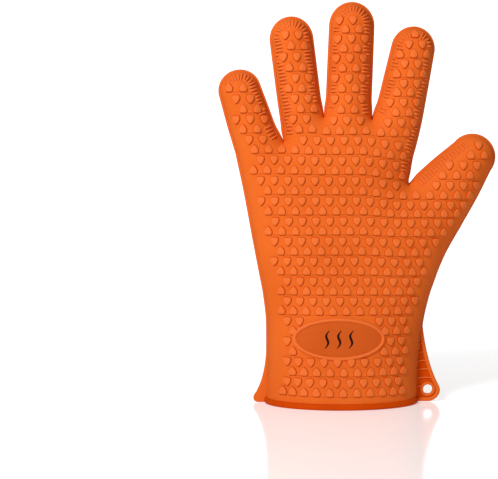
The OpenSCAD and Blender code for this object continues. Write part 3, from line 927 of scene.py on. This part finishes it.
def hem_place(angles, o, z):
    """Points round the cuff at height z, o outside its skin."""
    n = np.stack([np.cos(angles) / hem_half, np.sin(angles) / hem_deep], -1)
    n /= np.linalg.norm(n, axis=-1, keepdims=True)
    x = hem_mid + hem_half * np.cos(angles) + o * n[:, 0]
    return np.stack([x, hem_deep * np.sin(angles) + o * n[:, 1], np.full(len(angles), z)], -1)


# from inside the skin, round under it and up outside: how far out, and how high
HEM_SECTION = [(-WALL - 0.05, 2.2), (-WALL - 0.05, 0.7), (-WALL + 0.5, 0.08), (-0.2, 0.0), (0.8, 0.08),
               (HEM_OUT - 0.15, 0.6), (HEM_OUT, 1.5), (HEM_OUT, 2.6), (HEM_OUT - 0.3, 3.5),
               (0.65, HEM_Z - 0.15), (-0.15, HEM_Z)]
hem = Build("hem_bead")
# the whole hem bead gets the darker orange as painted shade
sweep_ring(hem, turn, hem_place, HEM_SECTION, ORANGE_PAINTED_SHADE)

PANEL_OUT, PANEL_GAP = 0.22, 0.6  # how far it stands out of the skin, and is from the ring's middle line
OVAL_STEPS, PANEL_RINGS = 120, 10
oval_turn = np.linspace(0, 2 * math.pi, OVAL_STEPS, endpoint=False)
oval_centre = np.array(OVAL_AT)
oval_mid = np.array(OVAL) - RING_W / 2


def oval_place(side):
    """For one face: points round the oval, o outside the ring's middle line and h above the skin."""
    def place(angles, o, h):
        n = np.stack([np.cos(angles) / oval_mid[0], np.sin(angles) / oval_mid[1]], -1)
        n /= np.linalg.norm(n, axis=-1, keepdims=True)
        p = oval_centre + np.stack([np.cos(angles), np.sin(angles)], -1) * oval_mid + o * n
        return lifted(depth(p), side, p) + h * normals_from(*slopes(p), side)
    return place


RING_SECTION = [(-1.1, -0.3), (-1.0, 0.45), (-0.62, 1.0), (0.0, 1.2), (0.62, 1.0), (1.0, 0.45), (1.1, -0.3)]
ring_section = [(o * RING_W / 2.2, h * RING_OUT / 1.2) for o, h in RING_SECTION]  # 2.2 wide, 1.2 high
ovals = {}
for side, key in ((FRONT, "oval_front"), (BACK, "oval_back")):
    b = ovals[key] = Build(key)
    # the ring's bead gets the lighter orange as painted highlight
    sweep_ring(b, oval_turn, oval_place(side), ring_section, ORANGE_PAINTED_HIGHLIGHT)
    sheets = []
    round_panel = np.stack([np.cos(oval_turn[::2]), np.sin(oval_turn[::2])], -1)
    for share in np.linspace(1.0, 0.1, PANEL_RINGS):
        p = oval_centre + round_panel * (oval_mid - PANEL_GAP) * share
        sheets.append(lifted(depth(p) + PANEL_OUT, side, p))
    b.patch(np.array(sheets), (0, side, 0), ORANGE_SMOOTH, closed=True)
    middle = lifted(depth(oval_centre) + PANEL_OUT, side, oval_centre)
    b.fan(sheets[-1], middle, (0, side, 0), ORANGE_SMOOTH)

# a plain mark of rising heat, printed on the front panel: three upright waves
WAVES_X = (-8.0, 0.0, 8.0)
WAVE_H, WAVE_SWAY, WAVE_LEAN = 11.5, 1.3, 3.0
WAVE_THIN, WAVE_SWELL = 0.3, 0.55  # half its width at its ends, and how much more at its middle
# across a wave: share of half its width, and height above the skin
WAVE_SECTION = [(-1.0, 0.2), (-0.85, 0.42), (0.85, 0.42), (1.0, 0.2)]
mark = Build("heat_mark")
t = np.linspace(0, 1, 31)
width = WAVE_THIN + WAVE_SWELL * np.sin(math.pi * t)
for x in WAVES_X:
    sway = x + WAVE_SWAY * np.sin(2 * math.pi * t) + WAVE_LEAN * (t - 0.5)
    line = np.stack([sway, WAVE_H * (t - 0.5)], -1) + oval_centre
    strips = [(line + np.stack([width * w, 0 * t], -1), h) for w, h in WAVE_SECTION]
    grid = np.stack([lifted(depth(strip) + h, FRONT, strip) for strip, h in strips], 1)
    mark.patch(grid, (0, FRONT, 0), INK)


# ---------------------------------------------------------------- the pieces: the palm's and the tab on the palm's body, the digits' only made and baked in place

def body_of(name, part):
    return f"{name}_{part}_sleeve"


# the palm's skin, and then everything else that rides on the palm
palm_nodes = [f"{tier}_{face}_shell" for tier in ("cuff", "palm", "knuckle") for face in ("front", "back")]
palm = build("palm").make()
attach(palm, "palm")
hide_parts(*palm_nodes, "seam_flange_sides", "seam_flange_webs")
for b, nodes, slot in ((hem, ["cuff_hem"], "silicone"), (ear, ["cuff_corner_ear"], "silicone"),
                       (ovals["oval_front"], ["oval_ring_front", "oval_panel_front"], "silicone"),
                       (ovals["oval_back"], ["oval_ring_back", "oval_panel_back"], "silicone"),
                       (mark, ["printed_mark"], "mark_ink")):
    o = b.make()
    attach(o, "palm")
    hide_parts(*nodes)

for name in ORDER:
    digit = DIGIT[name]
    for k, part in enumerate(digit.parts):
        o = build(f"{name}_{part}").make()
        low = ROOT if k == 0 else digit.cuts[k - 1]
        high = digit.cuts[k] if k < len(digit.cuts) else 2 * digit.bends[k] - low
        (x0, z0), (x1, z1) = digit.at(low, 0.0) * MM, digit.at(high, 0.0) * MM
        after = body_of(name, part)
        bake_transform(o)
        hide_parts(f"{name}_{part}_bend", f"{name}_{part}")

o = pieces["tab"].make()
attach(o, "palm")
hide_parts("hang_tab", "hang_tab_ribs")

# ---------------------------------------------------------------- stage, light and camera

FLOOR_HALF = 6
floor_mat = bpy.data.materials.new("pale_floor")
floor_mat.use_nodes = True
for key, value in (("Base Color", (0.8, 0.8, 0.8, 1)), ("Roughness", 0.12),
                   ("Emission Color", (1, 1, 1, 1)), ("Emission Strength", 0.3)):
    floor_mat.node_tree.nodes["Principled BSDF"].inputs[key].default_value = value
mesh = bpy.data.meshes.new("floor")
floor_corners = [(x * FLOOR_HALF, y * FLOOR_HALF, 0) for x, y in ((-1, -1), (1, -1), (1, 1), (-1, 1))]
mesh.from_pydata(floor_corners, [], [(0, 1, 2, 3)])
floor = bpy.data.objects.new("floor", mesh)
mesh.materials.append(floor_mat)
bpy.context.scene.collection.objects.link(floor)

# a soft white studio: bright behind the glove, dimmer in front, so that the key light shapes the skin
BEHIND, FRONT_FILL = 1.3, 0.22
FADE_FROM, FADE_TO = 0.925, 0.965  # how far a direction points to the back where the change starts and ends
world = bpy.data.worlds.new("studio")
world.use_nodes = True
nodes, links = world.node_tree.nodes, world.node_tree.links
direction = nodes.new("ShaderNodeTexCoord")
split = nodes.new("ShaderNodeSeparateXYZ")
fade = nodes.new("ShaderNodeMapRange")
fade.interpolation_type = "SMOOTHSTEP"
fade.inputs["From Min"].default_value = FADE_FROM
fade.inputs["From Max"].default_value = FADE_TO
fade.inputs["To Min"].default_value = FRONT_FILL
fade.inputs["To Max"].default_value = BEHIND
links.new(direction.outputs["Generated"], split.inputs["Vector"])
links.new(split.outputs["Y"], fade.inputs["Value"])
links.new(fade.outputs["Result"], nodes["Background"].inputs["Strength"])
nodes["Background"].inputs["Color"].default_value = (1, 1, 1, 1)
bpy.context.scene.world = world
bpy.context.scene.view_settings.view_transform = "Standard"


def area_light(name, place, size, power, colour, target=(0, 0, 0.13)):
    data = bpy.data.lights.new(name, "AREA")
    data.shape, data.size, data.energy = "DISK", size, power
    data.color = colour
    obj = bpy.data.objects.new(name, data)
    obj.location = place
    obj.rotation_euler = (Vector(target) - Vector(place)).to_track_quat("-Z", "Y").to_euler()
    bpy.context.scene.collection.objects.link(obj)


area_light("key_light", (-0.58, -0.86, 1.02), 0.34, 14.5, (1, 1, 1))
area_light("fill_light", (-0.25, -1.3, 0.45), 0.9, 3.5, (1, 0.76, 0.58))

CAMERA_AT = (-0.0519, -0.8229, 0.1626)
CAMERA_TURN = (86.555, 0.755, -0.423)  # pitch, yaw and roll in degrees
LENS, SENSOR = 86.66, 36               # in mm
camera_data = bpy.data.cameras.new("camera")
camera = bpy.data.objects.new("camera", camera_data)
bpy.context.scene.collection.objects.link(camera)
camera.location = CAMERA_AT
pitch, yaw, roll = (math.radians(v) for v in CAMERA_TURN)
turned = Matrix.Rotation(yaw, 3, "Z") @ Matrix.Rotation(pitch, 3, "X") @ Matrix.Rotation(roll, 3, "Z")
camera.rotation_euler = turned.to_euler()
camera_data.lens = LENS
camera_data.sensor_width = SENSOR
bpy.context.scene.camera = camera
